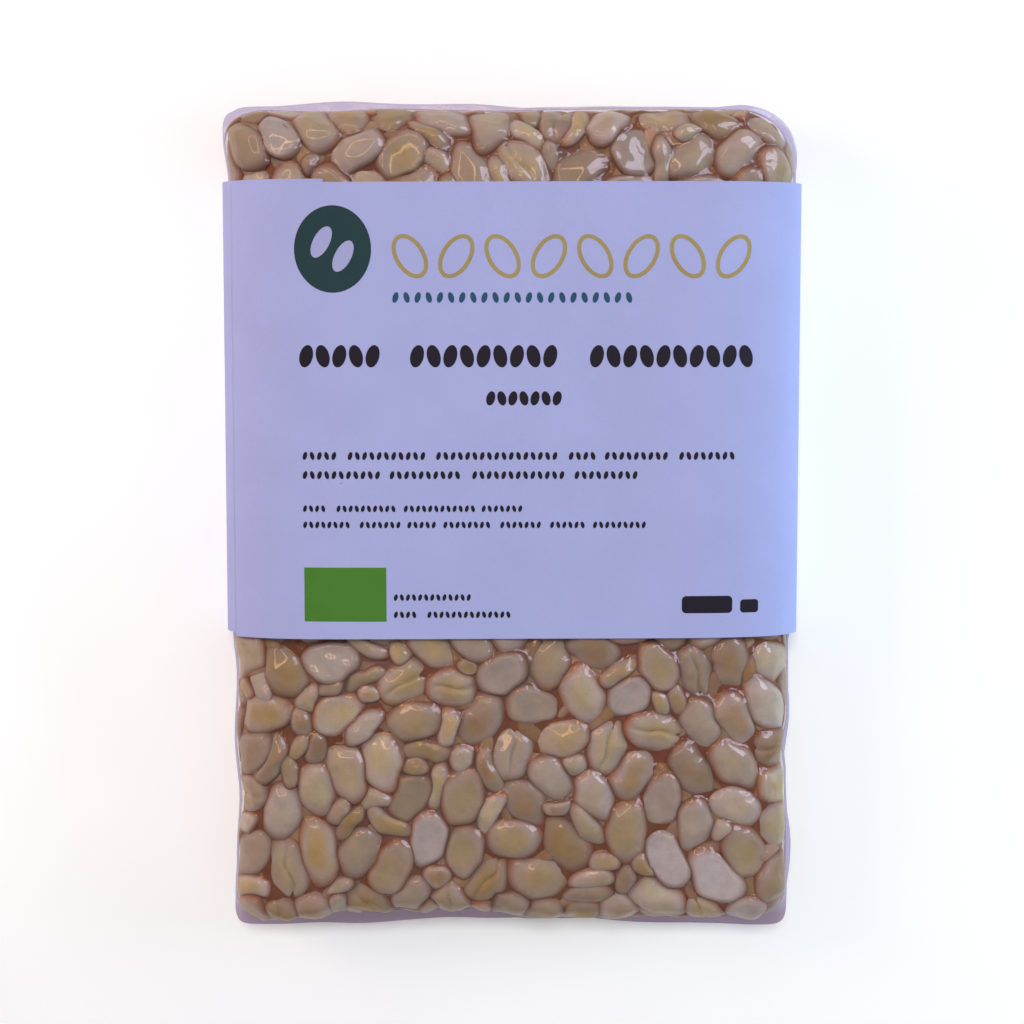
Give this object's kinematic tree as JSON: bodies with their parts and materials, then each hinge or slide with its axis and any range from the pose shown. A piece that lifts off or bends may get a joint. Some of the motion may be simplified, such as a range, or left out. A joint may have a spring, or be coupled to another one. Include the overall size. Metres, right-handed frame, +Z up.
{
  "type": "vacuum packed tempeh block with paper sleeve",
  "caption": "Flat block of soybean tempeh, vacuum sealed in clear film with a narrow sealed edge, in a plain printed paper sleeve open at both ends.",
  "frame": {"origin": "middle of the underside of the pack's bounding box, the pack lying on its back", "axes": "+X across the pack, +Y along it towards the end nearer the sleeve, +Z up through the front face"},
  "size_m": [0.101, 0.1464, 0.0168],
  "materials": {
    "pouch": "clear glossy film drawn tight over pale brown soybeans",
    "sleeve": "smooth uncoated paper in pale lavender with flat printed fields"
  },
  "bodies": {
    "root": {"tempeh_pack": "pouch", "paper_sleeve": "sleeve"}
  },
  "joints": []
}
